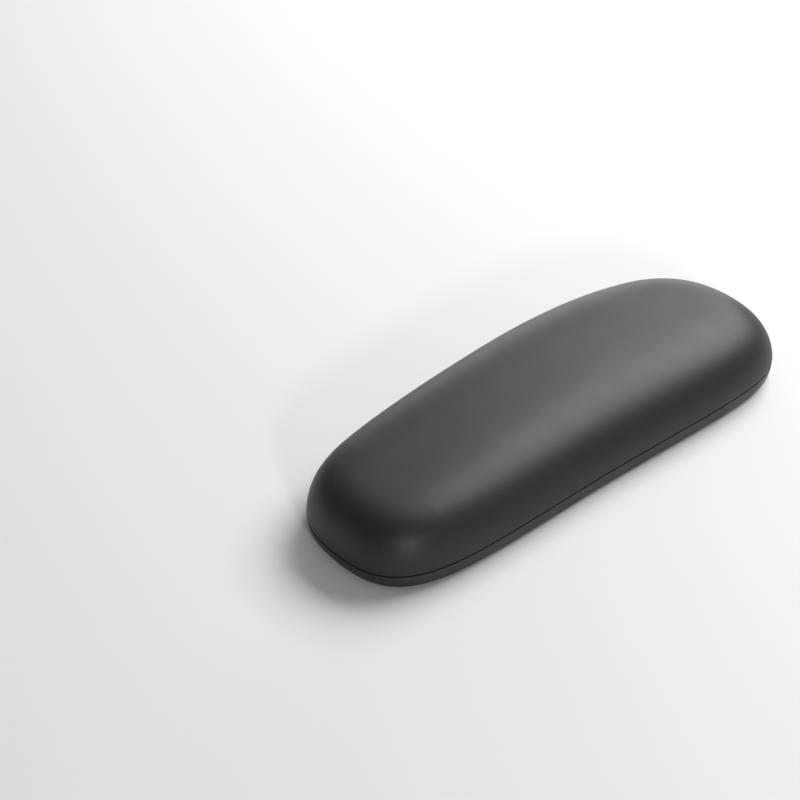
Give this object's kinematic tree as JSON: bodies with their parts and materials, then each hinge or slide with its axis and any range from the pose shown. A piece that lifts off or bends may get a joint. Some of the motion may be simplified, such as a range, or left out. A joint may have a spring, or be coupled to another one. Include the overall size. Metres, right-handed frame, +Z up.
{
  "type": "chair armrest pad",
  "caption": "Long soft armrest pad with one straight and one bowed side, one end broader than the other, on a hard base shell with threaded mounting holes underneath.",
  "frame": {"origin": "centre of the four mounting holes, in the plane of the mounting seat on the underside", "axes": "+X along the pad's length towards its wide end, +Y towards the bowed side, +Z up out of the soft top"},
  "size_m": [0.25, 0.0974, 0.0338],
  "materials": {
    "pad_foam": "black integral-skin polyurethane foam with a fine satin grain",
    "shell_plastic": "black moulded plastic, fine texture",
    "carrier_plastic": "black glass-filled nylon, as moulded",
    "nut_steel": "zinc-plated steel",
    "screw_steel": "black phosphated steel"
  },
  "bodies": {
    "root": {"soft_pad": "pad_foam", "base_shell": "shell_plastic", "carrier_plate": "carrier_plastic", "insert_nut_narrow_end_straight_side": "nut_steel", "insert_nut_narrow_end_bowed_side": "nut_steel", "insert_nut_wide_end_straight_side": "nut_steel", "insert_nut_wide_end_bowed_side": "nut_steel", "cover_screw_narrow_end_straight_side": "screw_steel", "cover_screw_narrow_end_bowed_side": "screw_steel", "cover_screw_middle_straight_side": "screw_steel", "cover_screw_middle_bowed_side": "screw_steel", "cover_screw_wide_end_straight_side": "screw_steel", "cover_screw_wide_end_bowed_side": "screw_steel"}
  },
  "joints": []
}
